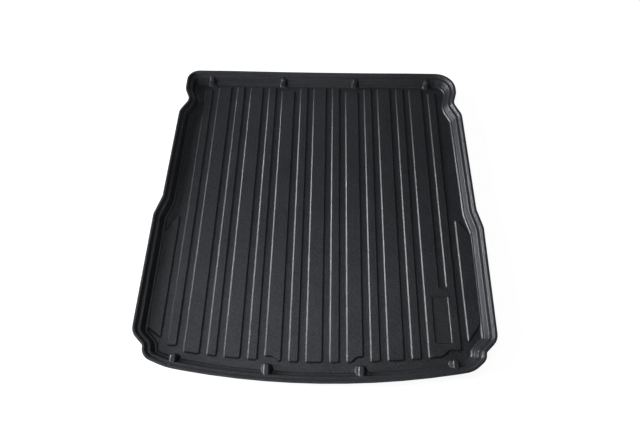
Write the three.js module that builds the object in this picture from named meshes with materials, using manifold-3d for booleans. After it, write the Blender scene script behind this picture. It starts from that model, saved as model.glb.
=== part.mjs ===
// Moulded boot liner: one sheet of plastic drawn into a shallow tray.
// The floor carries long raised pads, the wall has a ledge, and flutes stiffen its two ends.
// Millimetres, +Z up, X across the car, +Y towards the seats, origin on the ground under the middle.

import * as THREE from 'three';
import { mergeVertices } from 'three/addons/utils/BufferGeometryUtils.js';
import Module from 'manifold-3d';

const wasm = await Module();
wasm.setup();

// Overall size of the tray and of the sheet that it is drawn from
const LENGTH = 1177;
const HEIGHT = 38;
const SHEET = 2.5;

// Each side of the lip: distance of the hip from the origin, how far in from the hip each other
// stretch stands, where the side steps out to the hip and is cut in to the heel (measured from the
// near end), the radius of the ear, the blend of the heel into the near lip, and how far the near
// end of the side pad is drawn back at the wall
const LEFT = {
  hip: 537.5,
  flank: 0,
  waist: 19.5,
  shoulder: 24.5,
  notch: 54,
  ear: 33,
  heel: 39,
  step: 610.5,
  cut: 140.5,
  earRadius: 44,
  blendRun: 75,
  blendRise: 15,
  blendRadius: 200,
  padDrawback: 30,
};
const RIGHT = {
  hip: 537.5,
  flank: 4,
  waist: 16,
  shoulder: 22,
  notch: 46.5,
  ear: 32.5,
  heel: 42,
  step: 578.5,
  cut: 135.5,
  earRadius: 72,
  blendRun: 42,
  blendRise: 28,
  blendRadius: 80,
  padDrawback: 66,
};
const EAR_LENGTH = 94;
const NOTCH_BELOW_EAR = 49;
const SHOULDER_BELOW_NOTCH = 54;
const STEP_RUN = 68;
const NOTCH_RADIUS = 30;
const SIDE_RADIUS = 48;
const HEEL_NOTCH_RADIUS = 9;
const HEEL_RADIUS = 44;

// Ends of the lip seen from above: the near end bows out and the seat end is drawn in a little,
// each over its middle stretch, which stops short of the heels' blends and of the ears
const NEAR_BOW_RADIUS = 2420;
const NEAR_BOW_SHIFT = 9.5;
const NEAR_BOW_TO_BLEND = 50;
const FAR_DIP = 2.5;
const FAR_DIP_TO_EAR = 170;

// Section of the wall, from the lip down to the floor
const LIP_WIDTH = 8;
const UPSTAND_RUN = 5;
const LEDGE_HEIGHT = 28;
const LEDGE_WIDTH = 9.5;
const LEDGE_FALL = 0.8;
const WALL_RUN = 8.5;
const TOE_HEIGHT = 8.2;
const TOE_WIDTH = 5;
const TOE_RUN = 2.5;
const FLOOR_MARGIN = 4.5;
const EDGE_RADIUS = 3.2;
const LEDGE_RADIUS = 4.5;
const FLOOR_RADIUS = 6;

// Middle of the floor, a little left of the middle of the width, and the ends of the length
const WIDTH = LEFT.hip + RIGHT.hip;
const FLOOR_SHIFT = -1.5;
const MIDDLE = (RIGHT.hip - LEFT.hip) / 2 + FLOOR_SHIFT;
const FAR_END = LENGTH / 2;
const NEAR_END = -LENGTH / 2;

// Flutes in the wall of both ends
const FLUTES_PER_END = 4;
const FLUTE_TO_HIP = 130.25;
const FLUTE_PITCH = (WIDTH - 2 * FLUTE_TO_HIP) / (FLUTES_PER_END - 1);
const FAR_FLUTE_SHIFT = -3;
const NEAR_FLUTE_SHIFT = 1;
const FLUTE_WIDTH = 17;
const FAR_FLUTE_REACH = 40;
const NEAR_OUTER_FLUTE_REACH = 44.5;
const NEAR_INNER_FLUTE_REACH = 52;
const FLUTE_CORNER = 6;
const FLUTE_SIDE_RUN = 7;
const FLUTE_TOP_RADIUS = 4;
const FLUTE_FOOT_RUN = 3;
const FLUTE_FOOT_HEIGHT = 3.4;

// Raised pads of the floor: narrow and wide ones by turns
const PAD_HEIGHT = 4;
const PAD_SIDE_RUN = 4;
const PAD_COUNT = 15;
const PADS_TO_HIP = 87.5;
const PAD_PITCH = (WIDTH - 2 * PADS_TO_HIP) / PAD_COUNT;
const GROOVE_WIDTH = 22.5;
const WIDTH_STEP = 10;
const NARROW_PAD = PAD_PITCH - GROOVE_WIDTH - WIDTH_STEP;
const WIDE_PAD = PAD_PITCH - GROOVE_WIDTH + WIDTH_STEP;
const PAD_CORNER = 5;
const PAD_FAR_GAP = 51.5;
const PAD_FAR_CUT = 16;
const PAD_NEAR_GAP = 69.5;
const PAD_END_BOW_RADIUS = 3000;
const OUTER_PAD_NEAR_GAP = 112.5;

// Relief of the two pad ends that face the inner near flutes, by the number of the pad: it starts at
// a distance from the pad's inner side and steps the end back
const RELIEFS = { 6: { start: 7.75, depth: 13 }, 10: { start: 14, depth: 15 } };
const RELIEF_RUN = 16;

// Pads along the sides of the near half, with their ends measured from the near end
const SIDE_PAD_TO_LIP = 36;
const SIDE_PAD_FAR = 552.5;
const SIDE_PAD_NEAR = 136;
const SIDE_PAD_TAPER = 62;

// Groove that ends early beside the recessed plate in the near right corner, with the bend of the
// joined pads' near end: distances from the near end, from the side of the wide pad, and from the
// middles of the two pads that the plate spans
const GROOVE_END = 308.5;
const GROOVE_END_RADIUS = 8;
const JOINED_BEND_START = 7;
const JOINED_BEND_RUN = 21;
const JOINED_BEND_RADIUS = 12;
const PLATE_OVER_WIDE_PAD = 2;
const PLATE_FROM_NARROW_PAD = 13;
const PLATE_END = 282;
const PLATE_LENGTH = 149;
const PLATE_DEPTH = 2.4;
const PLATE_CORNER = 7;

// Greatest gap between the flats of a rounded stretch and its true arc
const PLAN_GAP = 0.3;
const PAD_GAP = 0.5;
const SECTION_GAP = 0.5;
const UNDERSIDE_GAP = 1;

// Smallest radius that an inner ring of the wall, and a small solid, is left with
const SMALLEST_RADIUS = 8;
const SMALL_RADIUS = 1;

// Depth to which the solids run below the tray before the underside is taken away
const RUN_OUT = 12;

// A corner is a sharp point with the radius that rounds it.
function corner(x, y, radius = 0) {
  return { point: new THREE.Vector2(x, y), radius };
}

// Unit vectors into and out of a corner; an open line keeps its one direction at each end.
function directions(corners, index, closed) {
  const count = corners.length;
  const here = corners[index].point;
  const before = corners[(index + count - 1) % count].point;
  const after = corners[(index + 1) % count].point;
  const incoming = here.clone().sub(before).normalize();
  const outgoing = after.clone().sub(here).normalize();
  if (!closed && index === 0) return [outgoing, outgoing];
  if (!closed && index === count - 1) return [incoming, incoming];
  return [incoming, outgoing];
}

// Moves every side of an outline to its left by one distance, with the radii that follow from it.
function offsetCorners(corners, distance, closed = true, smallest = SMALL_RADIUS) {
  return corners.map(({ point, radius }, index) => {
    const [incoming, outgoing] = directions(corners, index, closed);
    const normalIn = new THREE.Vector2(-incoming.y, incoming.x);
    const normalOut = new THREE.Vector2(-outgoing.y, outgoing.x);
    const mitre = normalIn.clone().add(normalOut).multiplyScalar(distance / (1 + normalIn.dot(normalOut)));
    const turn = Math.sign(incoming.cross(outgoing));
    const moved = radius > 0 ? Math.max(radius - turn * distance, smallest) : 0;
    return { point: point.clone().add(mitre), radius: moved };
  });
}

// Angle that one flat of an arc may span before it leaves the arc by more than the gap.
function flatAngle(radius, gap) {
  return 2 * Math.acos(Math.max(0, 1 - gap / radius));
}

// Radii of the corners, made smaller where two arcs would meet on the side between them
function fittedRadii(corners, closed) {
  const count = corners.length;
  const halfTurn = corners.map((_, index) => {
    const [incoming, outgoing] = directions(corners, index, closed);
    return Math.abs(Math.atan2(incoming.cross(outgoing), incoming.dot(outgoing))) / 2;
  });
  const tangent = corners.map(({ radius }, index) => radius * Math.tan(halfTurn[index]));
  const share = (a, b) => {
    const side = corners[a].point.distanceTo(corners[b].point);
    return Math.min(1, (0.98 * side) / (tangent[a] + tangent[b] || side));
  };
  return corners.map(({ radius }, index) => {
    const before = (index + count - 1) % count;
    const after = (index + 1) % count;
    return radius * Math.min(share(before, index), share(index, after));
  });
}

// Replaces each corner by points on its arc. The flats are counted on the outline before its offset,
// so every offset of one outline gives as many points.
function roundCorners(corners, gap, closed = true, counted = corners) {
  const points = [];
  const radii = fittedRadii(corners, closed);
  corners.forEach(({ point }, index) => {
    const radius = radii[index];
    const [incoming, outgoing] = directions(corners, index, closed);
    const turn = Math.atan2(incoming.cross(outgoing), incoming.dot(outgoing));
    if (counted[index].radius === 0) {
      points.push(point.clone());
      return;
    }
    const flats = Math.max(1, Math.ceil(Math.abs(turn) / flatAngle(counted[index].radius, gap) - 1e-6));
    const tangent = radius * Math.tan(Math.abs(turn) / 2);
    const start = point.clone().addScaledVector(incoming, -tangent);
    const side = Math.sign(turn);
    const centre = start.clone().add(new THREE.Vector2(-incoming.y, incoming.x).multiplyScalar(side * radius));
    for (let flat = 0; flat <= flats; flat += 1) {
      points.push(start.clone().rotateAround(centre, (turn * flat) / flats));
    }
  });
  return points;
}

// Closed solid whose rings follow an outline at the inset and height of each point of a section.
function sweepSection(outline, section, gap, smallest = SMALL_RADIUS) {
  const rings = section.map(({ x: inset, y: height }) =>
    roundCorners(offsetCorners(outline, inset, true, smallest), gap, true, outline).map(
      (point) => new THREE.Vector3(point.x, point.y, height)
    )
  );
  const count = rings[0].length;
  const index = [];
  for (let ring = 0; ring + 1 < rings.length; ring += 1) {
    for (let i = 0; i < count; i += 1) {
      const next = (i + 1) % count;
      const low = ring * count;
      const high = low + count;
      index.push(low + i, low + next, high + next, low + i, high + next, high + i);
    }
  }
  const top = (rings.length - 1) * count;
  const flat = (ring) => ring.map((point) => new THREE.Vector2(point.x, point.y));
  for (const [a, b, c] of THREE.ShapeUtils.triangulateShape(flat(rings[0]), [])) index.push(c, b, a);
  for (const [a, b, c] of THREE.ShapeUtils.triangulateShape(flat(rings.at(-1)), [])) {
    index.push(top + a, top + b, top + c);
  }
  const geometry = new THREE.BufferGeometry().setFromPoints(rings.flat());
  geometry.setIndex(index);
  return toSolid(geometry);
}

function toSolid(geometry) {
  const merged = mergeVertices(geometry, 1e-4);
  return new wasm.Manifold(
    new wasm.Mesh({
      numProp: 3,
      vertProperties: merged.attributes.position.array,
      triVerts: new Uint32Array(merged.index.array),
    })
  );
}

function toGeometry(solid) {
  const mesh = solid.getMesh();
  const geometry = new THREE.BufferGeometry();
  geometry.setAttribute('position', new THREE.BufferAttribute(mesh.vertProperties, mesh.numProp));
  geometry.setIndex(new THREE.BufferAttribute(mesh.triVerts, 1));
  geometry.computeVertexNormals();
  return geometry;
}

// Lip seen from above

function nearLipY(x) {
  const across = x - MIDDLE - NEAR_BOW_SHIFT;
  return NEAR_END + NEAR_BOW_RADIUS - Math.sqrt(NEAR_BOW_RADIUS ** 2 - across ** 2);
}

// Distance of a stretch of a side from the origin
function reach(side, stretch) {
  return side.hip - side[stretch];
}

function nearEdge() {
  const pieces = 10;
  const left = -reach(LEFT, 'heel') + LEFT.blendRun + NEAR_BOW_TO_BLEND;
  const right = reach(RIGHT, 'heel') - RIGHT.blendRun - NEAR_BOW_TO_BLEND;
  return Array.from({ length: pieces + 1 }, (_, i) => {
    const x = left + ((right - left) * i) / pieces;
    return corner(x, nearLipY(x));
  });
}

function farEdge() {
  const pieces = 4;
  const left = -reach(LEFT, 'ear') + FAR_DIP_TO_EAR;
  const right = reach(RIGHT, 'ear') - FAR_DIP_TO_EAR;
  return Array.from({ length: pieces + 1 }, (_, i) => {
    const share = (2 * i) / pieces - 1;
    return corner(right + ((left - right) * i) / pieces, FAR_END - FAR_DIP * (1 - share ** 2));
  });
}

// One side from the seat end to the near end; sign puts it left or right of the middle plane.
function sideEdge(side, sign) {
  const earY = FAR_END - EAR_LENGTH;
  const notchY = earY - NOTCH_BELOW_EAR;
  const stepY = NEAR_END + side.step;
  const cutY = NEAR_END + side.cut;
  const ear = sign * reach(side, 'ear');
  const flank = sign * reach(side, 'flank');
  const heel = sign * reach(side, 'heel');
  const blendEnd = heel - sign * side.blendRun;
  return [
    corner(ear, FAR_END, side.earRadius),
    corner(ear, earY, SIDE_RADIUS),
    corner(sign * reach(side, 'notch'), notchY, NOTCH_RADIUS),
    corner(sign * reach(side, 'shoulder'), notchY - SHOULDER_BELOW_NOTCH, SIDE_RADIUS),
    corner(sign * reach(side, 'waist'), stepY, SIDE_RADIUS),
    corner(sign * side.hip, stepY - STEP_RUN, SIDE_RADIUS),
    corner(flank, cutY, SIDE_RADIUS),
    corner(heel, cutY - side.heel + side.flank, HEEL_NOTCH_RADIUS),
    corner(heel, nearLipY(heel) + side.blendRise, HEEL_RADIUS),
    corner(blendEnd, nearLipY(blendEnd), side.blendRadius),
  ];
}

function lipOutline() {
  return [...nearEdge(), ...sideEdge(RIGHT, 1).reverse(), ...farEdge(), ...sideEdge(LEFT, -1)];
}

// Section of the wall: x is the distance in from the lip's edge, y the height

function wallSection() {
  const ledgeStart = LIP_WIDTH + UPSTAND_RUN;
  const ledgeEnd = ledgeStart + LEDGE_WIDTH;
  const toeStart = ledgeEnd + WALL_RUN;
  const toeEnd = toeStart + TOE_WIDTH;
  const floorStart = toeEnd + TOE_RUN;
  return [
    corner(0, HEIGHT),
    corner(LIP_WIDTH, HEIGHT, EDGE_RADIUS),
    corner(ledgeStart, LEDGE_HEIGHT + LEDGE_FALL / 2, EDGE_RADIUS),
    corner(ledgeEnd, LEDGE_HEIGHT - LEDGE_FALL / 2, LEDGE_RADIUS),
    corner(toeStart, TOE_HEIGHT, EDGE_RADIUS),
    corner(toeEnd, TOE_HEIGHT, EDGE_RADIUS),
    corner(floorStart, SHEET, FLOOR_RADIUS),
    corner(floorStart + FLOOR_MARGIN, SHEET),
  ];
}

// The plain tray filled up to its upper face, and the space under it, share the wall below the lip.
function trayFill(outline) {
  const upper = roundCorners(wallSection(), SECTION_GAP, false);
  return sweepSection(outline, [...skirt(), ...upper], PLAN_GAP, SMALLEST_RADIUS);
}

// The same section one sheet lower: its sharp corners keep the sheet's thickness on every slope.
function spaceBelow(outline) {
  const lower = roundCorners(offsetCorners(wallSection(), -SHEET, false), UNDERSIDE_GAP, false);
  return sweepSection(outline, [...skirt(), ...lower.slice(1)], PLAN_GAP, SMALLEST_RADIUS);
}

function skirt() {
  return [new THREE.Vector2(0, -RUN_OUT), new THREE.Vector2(0, HEIGHT - SHEET)];
}

// Flutes: tongues level with the ledge that stand into the tray from the wall of each end

// The reach is the distance of the inner end from the lip, positive when it points to the seat end.
function fluteOutline(x, lipY, reachIn) {
  const inner = lipY + reachIn;
  const half = Math.sign(reachIn) * (FLUTE_WIDTH / 2);
  return [
    corner(x + half, lipY),
    corner(x + half, inner, FLUTE_CORNER),
    corner(x - half, inner, FLUTE_CORNER),
    corner(x - half, lipY),
  ];
}

// Section of a flute from its foot in the floor up to its flat top
function fluteSection() {
  const footEnd = -FLUTE_SIDE_RUN - FLUTE_FOOT_RUN;
  return [
    corner(footEnd - FLUTE_FOOT_RUN, SHEET - FLUTE_FOOT_HEIGHT),
    corner(-FLUTE_SIDE_RUN, SHEET + FLUTE_FOOT_HEIGHT, FLUTE_TOP_RADIUS),
    corner(0, LEDGE_HEIGHT, FLUTE_TOP_RADIUS),
    corner(FLUTE_WIDTH / 4, LEDGE_HEIGHT),
  ];
}

function fluteCentres(shift) {
  return Array.from(
    { length: FLUTES_PER_END },
    (_, i) => MIDDLE + shift + (i - (FLUTES_PER_END - 1) / 2) * FLUTE_PITCH
  );
}

function flutePlaces() {
  const near = fluteCentres(NEAR_FLUTE_SHIFT).map((x, i) => {
    const outermost = i === 0 || i === FLUTES_PER_END - 1;
    return fluteOutline(x, nearLipY(x), outermost ? NEAR_OUTER_FLUTE_REACH : NEAR_INNER_FLUTE_REACH);
  });
  const far = fluteCentres(FAR_FLUTE_SHIFT).map((x) => fluteOutline(x, FAR_END, -FAR_FLUTE_REACH));
  return [...near, ...far];
}

// Their outer ends are cut off under the lip, where they lie inside the wall.
function flutes(drop) {
  const section = roundCorners(offsetCorners(fluteSection(), -drop, false), UNDERSIDE_GAP, false);
  const solids = flutePlaces().map((place) => sweepSection(place, section, PAD_GAP));
  const limit = [-2 * RUN_OUT, HEIGHT].map((height) => new THREE.Vector2(LIP_WIDTH / 2, height));
  return wasm.Manifold.union(solids).intersect(sweepSection(lipOutline(), limit, PLAN_GAP));
}

// Pads: the outline runs at half the height of their sloping sides

function padEndY(x) {
  return NEAR_END + PAD_NEAR_GAP + (x - MIDDLE) ** 2 / (2 * PAD_END_BOW_RADIUS);
}

function padWidth(number) {
  return number % 2 === 0 ? WIDE_PAD : NARROW_PAD;
}

function padCentre(number) {
  return MIDDLE + (number - (PAD_COUNT + 1) / 2) * PAD_PITCH;
}

function padFarY(left, right) {
  const end = FAR_END - PAD_FAR_GAP;
  const facesFlute = fluteCentres(FAR_FLUTE_SHIFT).some(
    (x) => x + FLUTE_WIDTH / 2 > left && x - FLUTE_WIDTH / 2 < right
  );
  return facesFlute ? end - PAD_FAR_CUT : end;
}

// Near end of a pad from its left to its right side, stepped back where it faces a near flute
function padNearEnd(number, left, right) {
  const low = (x) => corner(x, padEndY(x), PAD_CORNER);
  const relief = RELIEFS[number];
  if (!relief) return [low(left), low(right)];
  const high = (x) => corner(x, padEndY(x) + relief.depth, PAD_CORNER);
  const end = relief.start + RELIEF_RUN;
  if (padCentre(number) < MIDDLE) {
    return [high(left), high(right - end), low(right - relief.start), low(right)];
  }
  return [low(left), low(left + relief.start), high(left + end), high(right)];
}

function plainPad(number) {
  const left = padCentre(number) - padWidth(number) / 2;
  const right = left + padWidth(number);
  const far = padFarY(left, right);
  const near = padNearEnd(number, left, right);
  if (number === 1) near.forEach((end) => end.point.setY(NEAR_END + OUTER_PAD_NEAR_GAP));
  return [...near, corner(right, far, PAD_CORNER), corner(left, far, PAD_CORNER)];
}

// The last two pads run together beyond the end of the groove between them.
function joinedPads() {
  const wideLeft = padCentre(PAD_COUNT - 1) - WIDE_PAD / 2;
  const wideRight = wideLeft + WIDE_PAD;
  const narrowLeft = padCentre(PAD_COUNT) - NARROW_PAD / 2;
  const narrowRight = narrowLeft + NARROW_PAD;
  const wideFar = padFarY(wideLeft, wideRight);
  const narrowFar = padFarY(narrowLeft, narrowRight);
  const outerEnd = NEAR_END + OUTER_PAD_NEAR_GAP;
  const grooveEnd = NEAR_END + GROOVE_END;
  const bend = wideRight - JOINED_BEND_START;
  return [
    corner(wideLeft, padEndY(wideLeft), PAD_CORNER),
    corner(bend, padEndY(bend), JOINED_BEND_RADIUS),
    corner(bend + JOINED_BEND_RUN, outerEnd, JOINED_BEND_RADIUS),
    corner(narrowRight, outerEnd, PAD_CORNER),
    corner(narrowRight, narrowFar, PAD_CORNER),
    corner(narrowLeft, narrowFar, PAD_CORNER),
    corner(narrowLeft, grooveEnd, GROOVE_END_RADIUS),
    corner(wideRight, grooveEnd, GROOVE_END_RADIUS),
    corner(wideRight, wideFar, PAD_CORNER),
    corner(wideLeft, wideFar, PAD_CORNER),
  ];
}

// A pad between the last groove of the floor and the wall of one side
function sidePad(side, sign) {
  const outer = side.hip - SIDE_PAD_TO_LIP;
  const inner = sign * (padCentre(sign > 0 ? PAD_COUNT : 1) + sign * (NARROW_PAD / 2 + GROOVE_WIDTH));
  const far = NEAR_END + SIDE_PAD_FAR;
  const near = NEAR_END + SIDE_PAD_NEAR;
  const corners = [
    corner(sign * inner, near, PAD_CORNER / 2),
    corner(sign * outer, near + side.padDrawback, PAD_CORNER),
    corner(sign * outer, far - SIDE_PAD_TAPER, PAD_CORNER),
    corner(sign * (inner + 2 * PAD_CORNER), far, PAD_CORNER),
    corner(sign * inner, far, PAD_CORNER / 2),
  ];
  return sign > 0 ? corners : corners.reverse();
}

function padOutlines() {
  const plain = Array.from({ length: PAD_COUNT - 2 }, (_, i) => plainPad(i + 1));
  return [...plain, joinedPads(), sidePad(LEFT, -1), sidePad(RIGHT, 1)];
}

// Section of a pad's side, or of a recess when the height is negative, run out past both its faces
function slopeSection(base, height) {
  const slope = PAD_SIDE_RUN / PAD_HEIGHT;
  const foot = base - Math.sign(height);
  return [
    corner(-PAD_SIDE_RUN / 2 - slope, foot),
    corner(PAD_SIDE_RUN / 2, foot + height + Math.sign(height)),
  ];
}

function pads(drop) {
  const section = offsetCorners(slopeSection(SHEET, PAD_HEIGHT), -drop, false).map(({ point }) => point);
  return padOutlines().map((outline) => sweepSection(outline, section, PAD_GAP));
}

// Recess of the plate: a pan with the same sloping sides, standing open above the pad
function plateRecess(drop) {
  const left = padCentre(PAD_COUNT - 1) - PLATE_OVER_WIDE_PAD;
  const right = padCentre(PAD_COUNT) - PLATE_FROM_NARROW_PAD;
  const far = NEAR_END + PLATE_END;
  const near = far - PLATE_LENGTH;
  const outline = [
    corner(left, near, PLATE_CORNER),
    corner(right, near, PLATE_CORNER),
    corner(right, far, PLATE_CORNER),
    corner(left, far, PLATE_CORNER),
  ];
  const floor = SHEET + PAD_HEIGHT - PLATE_DEPTH;
  const section = [corner(PLATE_DEPTH / 2, floor), corner(-PLATE_DEPTH, floor + 1.5 * PLATE_DEPTH)];
  const placed = offsetCorners(section, drop, false).map(({ point }) => point);
  return sweepSection(outline, placed, PAD_GAP);
}

// The sheet is what lies between its upper face and the same form one sheet lower.
function liner() {
  const outline = lipOutline();
  const above = wasm.Manifold.union([trayFill(outline), flutes(0), ...pads(0)]);
  const below = wasm.Manifold.union([spaceBelow(outline), flutes(SHEET), ...pads(SHEET)]);
  return above.subtract(plateRecess(0)).subtract(below.subtract(plateRecess(SHEET)));
}

const plastic = new THREE.MeshStandardMaterial({ color: 0x202224, roughness: 0.6, metalness: 0 });

const bootLiner = new THREE.Mesh(toGeometry(liner()), plastic);
bootLiner.name = 'boot_liner';

const part = new THREE.Group();
part.add(bootLiner);

export default part;
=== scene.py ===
import math

import bmesh
import bpy
from mathutils import Matrix, Vector
from mathutils.bvhtree import BVHTree


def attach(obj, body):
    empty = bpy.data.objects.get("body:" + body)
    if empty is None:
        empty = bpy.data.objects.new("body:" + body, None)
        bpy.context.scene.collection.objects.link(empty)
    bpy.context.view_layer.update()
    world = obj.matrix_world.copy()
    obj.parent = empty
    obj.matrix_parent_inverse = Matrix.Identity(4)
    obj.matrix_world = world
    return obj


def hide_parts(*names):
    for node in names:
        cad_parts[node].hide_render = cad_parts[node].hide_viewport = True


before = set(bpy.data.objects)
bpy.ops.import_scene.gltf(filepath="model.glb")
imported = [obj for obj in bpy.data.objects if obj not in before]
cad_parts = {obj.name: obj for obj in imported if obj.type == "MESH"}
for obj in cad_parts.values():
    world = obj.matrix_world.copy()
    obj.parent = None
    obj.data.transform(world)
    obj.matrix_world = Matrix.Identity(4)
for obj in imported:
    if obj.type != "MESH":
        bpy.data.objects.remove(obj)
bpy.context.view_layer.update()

scene = bpy.context.scene
scene.view_settings.view_transform = "Standard"

# Liner: one sheet of black plastic, warmed and drawn down over a mould into a shallow tray, which
# lies loose on the boot floor. The drawn sheet has no sharp edge anywhere, so every fold of the
# solid is rounded here, on the upper face and on the underside alike.
SAME_POINT = 0.00001
SLIVER = 0.00012
FLAT_ANGLE = math.radians(0.08)
FOLD_ANGLE = math.radians(22)
FOLD_ROUND = 0.0008
FOLD_STEPS = 3
STRAY_POINT = 0.0005
STRAY_ROUNDS = 3

shell = bmesh.new()
shell.from_mesh(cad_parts["boot_liner"].data)
bmesh.ops.remove_doubles(shell, verts=shell.verts, dist=SAME_POINT)
bmesh.ops.dissolve_limit(
    shell,
    angle_limit=FLAT_ANGLE,
    use_dissolve_boundaries=False,
    verts=shell.verts,
    edges=shell.edges,
    delimit=set(),
)
bmesh.ops.dissolve_degenerate(shell, edges=shell.edges, dist=SLIVER)
# The long comb-shaped faces between the pads are cut across and along, because the rounding would
# fold them over themselves.
CUTS_ACROSS = (-0.52, -0.504, -0.35, -0.165, 0, 0.35, 0.515, 0.543)
CUTS_ALONG = (-0.407, -0.3, -0.2, -0.136, -0.065, 0, 0.065, 0.136, 0.2, 0.3, 0.41)
cuts = [((0, y, 0), (0, 1, 0)) for y in CUTS_ACROSS]
cuts += [((x, 0, 0), (1, 0, 0)) for x in CUTS_ALONG]
for place_on_cut, across in cuts:
    bmesh.ops.bisect_plane(
        shell,
        geom=shell.verts[:] + shell.edges[:] + shell.faces[:],
        dist=SAME_POINT,
        plane_co=place_on_cut,
        plane_no=across,
    )
drawn_sheet = BVHTree.FromBMesh(shell)
bmesh.ops.bevel(
    shell,
    geom=[edge for edge in shell.edges if edge.calc_face_angle(0) > FOLD_ANGLE],
    offset=FOLD_ROUND,
    offset_type="OFFSET",
    segments=FOLD_STEPS,
    profile=0.5,
    affect="EDGES",
    clamp_overlap=False,
    material=-1,
)
# Where the folds of a flute run together at its end, a point thrown off the sheet goes back to the
# next sound point of its corner.
for _ in range(STRAY_ROUNDS):
    strays = {
        point for point in shell.verts if drawn_sheet.find_nearest(point.co)[3] > STRAY_POINT
    }
    for stray in strays:
        sound = [edge for edge in stray.link_edges if edge.other_vert(stray) not in strays]
        if sound:
            stray.co = min(sound, key=lambda edge: edge.calc_length()).other_vert(stray).co
bmesh.ops.remove_doubles(shell, verts=shell.verts, dist=SAME_POINT)
liner_mesh = bpy.data.meshes.new("liner_shell")
shell.to_mesh(liner_mesh)
shell.free()
liner_mesh.shade_smooth()
liner = bpy.data.objects.new("liner_shell", liner_mesh)
scene.collection.objects.link(liner)
flats = liner.modifiers.new("flats", "WEIGHTED_NORMAL")
flats.mode = "FACE_AREA"
flats.weight = 100

# Its plastic is dyed through and nearly black. The mould has pressed a leather grain into it: fine
# cells with pores, on soft lumps of some five millimetres that break up the light on the floor. On
# the steep walls the sheet was stretched, and the grain is washed out.
GRAIN_CELLS = 330
GRAIN_VALLEY = 0.16
PORE_CELLS = 1100
PORES_IN_GRAIN = 0.3
LUMPS = 210
LUMPS_IN_LEATHER = 0.92
GRAIN_DEPTH = 0.0013
STEEP_SLOPE = 0.5
LEVEL_SLOPE = 0.9
STRETCHED_GRAIN = 0.45
PLASTIC_SHINE = 0.5

plastic = bpy.data.materials.new("grained_black_plastic")
plastic.use_nodes = True
plastic_nodes = plastic.node_tree.nodes
plastic_links = plastic.node_tree.links
surface = plastic_nodes["Principled BSDF"]
surface.inputs["Specular IOR Level"].default_value = PLASTIC_SHINE

place = plastic_nodes.new("ShaderNodeTexCoord")
cells = plastic_nodes.new("ShaderNodeTexVoronoi")
cells.feature = "DISTANCE_TO_EDGE"
cells.inputs["Scale"].default_value = GRAIN_CELLS
valleys = plastic_nodes.new("ShaderNodeMapRange")
valleys.interpolation_type = "SMOOTHSTEP"
valleys.inputs["From Max"].default_value = GRAIN_VALLEY
pores = plastic_nodes.new("ShaderNodeTexNoise")
pores.inputs["Scale"].default_value = PORE_CELLS
pores.inputs["Detail"].default_value = 2
grain = plastic_nodes.new("ShaderNodeMix")
grain.data_type = "FLOAT"
grain.inputs["Factor"].default_value = PORES_IN_GRAIN
lumps = plastic_nodes.new("ShaderNodeTexNoise")
lumps.inputs["Scale"].default_value = LUMPS
lumps.inputs["Detail"].default_value = 1
leather = plastic_nodes.new("ShaderNodeMix")
leather.data_type = "FLOAT"
leather.inputs["Factor"].default_value = LUMPS_IN_LEATHER
relief = plastic_nodes.new("ShaderNodeBump")
relief.inputs["Distance"].default_value = GRAIN_DEPTH
slope = plastic_nodes.new("ShaderNodeSeparateXYZ")
level = plastic_nodes.new("ShaderNodeMath")
level.operation = "ABSOLUTE"
stretch = plastic_nodes.new("ShaderNodeMapRange")
stretch.inputs["From Min"].default_value = STEEP_SLOPE
stretch.inputs["From Max"].default_value = LEVEL_SLOPE
stretch.inputs["To Min"].default_value = STRETCHED_GRAIN
plastic_links.new(place.outputs["Object"], cells.inputs["Vector"])
plastic_links.new(place.outputs["Object"], pores.inputs["Vector"])
plastic_links.new(place.outputs["Object"], lumps.inputs["Vector"])
plastic_links.new(cells.outputs["Distance"], valleys.inputs["Value"])
plastic_links.new(valleys.outputs["Result"], grain.inputs["A"])
plastic_links.new(pores.outputs["Fac"], grain.inputs["B"])
plastic_links.new(grain.outputs["Result"], leather.inputs["A"])
plastic_links.new(lumps.outputs["Fac"], leather.inputs["B"])
plastic_links.new(leather.outputs["Result"], relief.inputs["Height"])
plastic_links.new(place.outputs["Normal"], slope.inputs["Vector"])
plastic_links.new(slope.outputs["Z"], level.inputs[0])
plastic_links.new(level.outputs["Value"], stretch.inputs["Value"])
plastic_links.new(stretch.outputs["Result"], relief.inputs["Strength"])
plastic_links.new(relief.outputs["Normal"], surface.inputs["Normal"])

# Painted shade: the colour is darker in the hollows between the lumps and paler on the lump tops,
# and the tops are also smoother than the hollows.
# Broad patches of the sheet differ too, where it was drawn thinner or thicker.
PATCHES = 9
LUMPS_IN_SHADE_AND_GLOSS = 0.7
HOLLOW_LEVEL = 0.36
TOP_LEVEL = 0.64
HOLLOW_COLOUR = (0.018, 0.019, 0.021, 1)
TOP_COLOUR = (0.038, 0.039, 0.041, 1)
HOLLOW_ROUGHNESS = 0.37
TOP_ROUGHNESS = 0.28

patches = plastic_nodes.new("ShaderNodeTexNoise")
patches.inputs["Scale"].default_value = PATCHES
patches.inputs["Detail"].default_value = 3
lumps_and_patches = plastic_nodes.new("ShaderNodeMix")
lumps_and_patches.data_type = "FLOAT"
lumps_and_patches.inputs["Factor"].default_value = LUMPS_IN_SHADE_AND_GLOSS
hollow_shade_and_gloss = plastic_nodes.new("ShaderNodeMapRange")
hollow_shade_and_gloss.inputs["From Min"].default_value = HOLLOW_LEVEL
hollow_shade_and_gloss.inputs["From Max"].default_value = TOP_LEVEL
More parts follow.
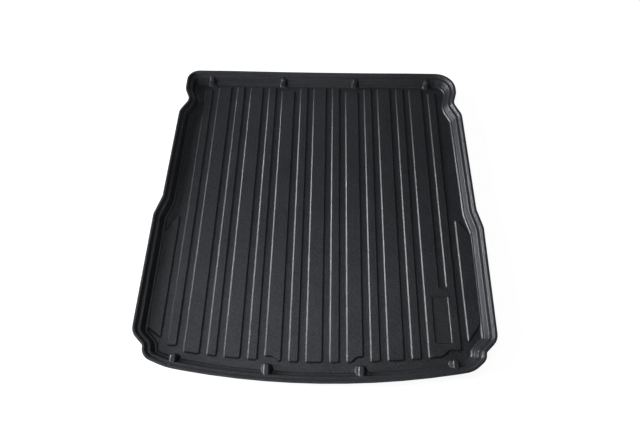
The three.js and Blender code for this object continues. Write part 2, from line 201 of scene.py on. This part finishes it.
# Painted shade in the hollows of the lumps and a paler top, mixed with the broad patches of the
# sheet's own tone.
hollow_shade_tone = plastic_nodes.new("ShaderNodeMix")
hollow_shade_tone.data_type = "RGBA"
hollow_shade_tone.inputs["A"].default_value = HOLLOW_COLOUR
hollow_shade_tone.inputs["B"].default_value = TOP_COLOUR
gloss = plastic_nodes.new("ShaderNodeMapRange")
gloss.inputs["To Min"].default_value = HOLLOW_ROUGHNESS
gloss.inputs["To Max"].default_value = TOP_ROUGHNESS
plastic_links.new(place.outputs["Object"], patches.inputs["Vector"])
plastic_links.new(patches.outputs["Fac"], lumps_and_patches.inputs["A"])
plastic_links.new(lumps.outputs["Fac"], lumps_and_patches.inputs["B"])
plastic_links.new(lumps_and_patches.outputs["Result"], hollow_shade_and_gloss.inputs["Value"])
plastic_links.new(hollow_shade_and_gloss.outputs["Result"], hollow_shade_tone.inputs["Factor"])
plastic_links.new(hollow_shade_and_gloss.outputs["Result"], gloss.inputs["Value"])
plastic_links.new(hollow_shade_tone.outputs["Result"], surface.inputs["Base Color"])
plastic_links.new(gloss.outputs["Result"], surface.inputs["Roughness"])

liner_mesh.materials.clear()
liner_mesh.materials.append(plastic)
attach(liner, "root")
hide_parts("boot_liner")

# Studio floor: a wide sheet of white paper under the liner. It shows as white to the lens and in
# gloss, and keeps the liner's soft shadow.
FLOOR_HALF = 20
WHITE_PAPER_COLOUR = 0.3
WHITE_PAPER_GLOW = 0.93


def studio_paper(name, colour, glow):
    paper = bpy.data.materials.new(name)
    paper.use_nodes = True
    nodes, links = paper.node_tree.nodes, paper.node_tree.links
    nodes.remove(nodes["Principled BSDF"])
    lit = nodes.new("ShaderNodeBsdfDiffuse")
    lit.inputs["Color"].default_value = (colour, colour, colour, 1)
    shown = nodes.new("ShaderNodeEmission")
    shown.inputs["Color"].default_value = (glow, glow, glow, 1)
    rays = nodes.new("ShaderNodeLightPath")
    lens_or_gloss = nodes.new("ShaderNodeMath")
    lens_or_gloss.operation = "MAXIMUM"
    any_view = nodes.new("ShaderNodeMath")
    any_view.operation = "MAXIMUM"
    both = nodes.new("ShaderNodeAddShader")
    links.new(rays.outputs["Is Camera Ray"], lens_or_gloss.inputs[0])
    links.new(rays.outputs["Is Glossy Ray"], lens_or_gloss.inputs[1])
    links.new(lens_or_gloss.outputs[0], any_view.inputs[0])
    links.new(rays.outputs["Is Transmission Ray"], any_view.inputs[1])
    links.new(any_view.outputs[0], shown.inputs["Strength"])
    links.new(lit.outputs[0], both.inputs[0])
    links.new(shown.outputs[0], both.inputs[1])
    links.new(both.outputs[0], nodes["Material Output"].inputs["Surface"])
    return paper


floor_form = bmesh.new()
bmesh.ops.create_grid(floor_form, x_segments=1, y_segments=1, size=FLOOR_HALF)
floor_mesh = bpy.data.meshes.new("studio_floor")
floor_form.to_mesh(floor_mesh)
floor_form.free()
floor_mesh.materials.append(studio_paper("white_paper", WHITE_PAPER_COLOUR, WHITE_PAPER_GLOW))
studio_floor = bpy.data.objects.new("studio_floor", floor_mesh)
scene.collection.objects.link(studio_floor)

# Backdrop: a round wall of grey paper far behind the lamps. It closes the horizon in low views,
# and is dim, because the liner's own left wall reflects next to nothing in the photograph.
BACKDROP_RADIUS = 12
BACKDROP_HEIGHT = 5.6
BACKDROP_SIDES = 96
GREY_PAPER_COLOUR = 0.1
GREY_PAPER_GLOW = 0.16

backdrop_form = bmesh.new()
bmesh.ops.create_circle(backdrop_form, segments=BACKDROP_SIDES, radius=BACKDROP_RADIUS)
raised = bmesh.ops.extrude_edge_only(backdrop_form, edges=backdrop_form.edges)["geom"]
bmesh.ops.translate(
    backdrop_form,
    vec=(0, 0, BACKDROP_HEIGHT),
    verts=[part for part in raised if isinstance(part, bmesh.types.BMVert)],
)
backdrop_mesh = bpy.data.meshes.new("studio_backdrop")
backdrop_form.to_mesh(backdrop_mesh)
backdrop_form.free()
backdrop_mesh.materials.append(studio_paper("grey_paper", GREY_PAPER_COLOUR, GREY_PAPER_GLOW))
studio_backdrop = bpy.data.objects.new("studio_backdrop", backdrop_mesh)
scene.collection.objects.link(studio_backdrop)

# Lamps: four cool windows low on the left, which catch the left flank of every pad and the right
# wall, and four weak boxes above and around. All are aimed at the middle of the floor, and the
# air of the studio adds a faint light from everywhere.
LAMP_DISTANCE = 3
COOL_WHITE = (0.92, 0.94, 1.0)
AIR_GLOW = 0.01


def softbox(name, azimuth, elevation, side, power):
    around, up = math.radians(azimuth), math.radians(elevation)
    spot = LAMP_DISTANCE * Vector(
        (math.cos(around) * math.cos(up), math.sin(around) * math.cos(up), math.sin(up))
    )
    lamp = bpy.data.lights.new(name, "AREA")
    lamp.shape = "SQUARE"
    lamp.size = side
    lamp.energy = power
    lamp.color = COOL_WHITE
    holder = bpy.data.objects.new(name, lamp)
    aim = (-spot).to_track_quat("-Z", "Y").to_matrix().to_4x4()
    holder.matrix_world = Matrix.Translation(spot) @ aim
    scene.collection.objects.link(holder)


softbox("low_left_window", azimuth=165, elevation=12, side=0.6, power=56)
softbox("left_window", azimuth=195, elevation=22, side=0.6, power=48)
softbox("far_left_window", azimuth=150, elevation=22, side=0.6, power=24)
softbox("low_far_window", azimuth=146, elevation=5, side=0.4, power=46)
softbox("left_overhead_box", azimuth=180, elevation=70, side=1.2, power=7)
softbox("overhead_box", azimuth=90, elevation=84, side=1.2, power=10.5)
softbox("far_box", azimuth=90, elevation=25, side=1.2, power=2.5)
softbox("near_box", azimuth=270, elevation=20, side=1.2, power=8.5)

studio = bpy.data.worlds.new("studio_air")
scene.world = studio
studio.use_nodes = True
studio.node_tree.nodes["Background"].inputs["Color"].default_value = (1, 1, 1, 1)
studio.node_tree.nodes["Background"].inputs["Strength"].default_value = AIR_GLOW

# Camera: at eye height behind the near end, looking down into the tray, almost square to the
# near lip.
SENSOR_WIDTH = 36
FOCAL_LENGTH = 32.5
CAMERA_PLACE = (0.0213, -0.9955, 1.6654)
CAMERA_TURN = 0.82
CAMERA_DIP = 60.18
CAMERA_ROLL = 0.24

lens = bpy.data.cameras.new("camera")
lens.sensor_width = SENSOR_WIDTH
lens.lens = FOCAL_LENGTH
camera = bpy.data.objects.new("camera", lens)
scene.collection.objects.link(camera)
camera.matrix_world = (
    Matrix.Translation(CAMERA_PLACE)
    @ Matrix.Rotation(math.radians(CAMERA_TURN), 4, "Z")
    @ Matrix.Rotation(math.radians(90 - CAMERA_DIP), 4, "X")
    @ Matrix.Rotation(math.radians(CAMERA_ROLL), 4, "Z")
)
scene.camera = camera
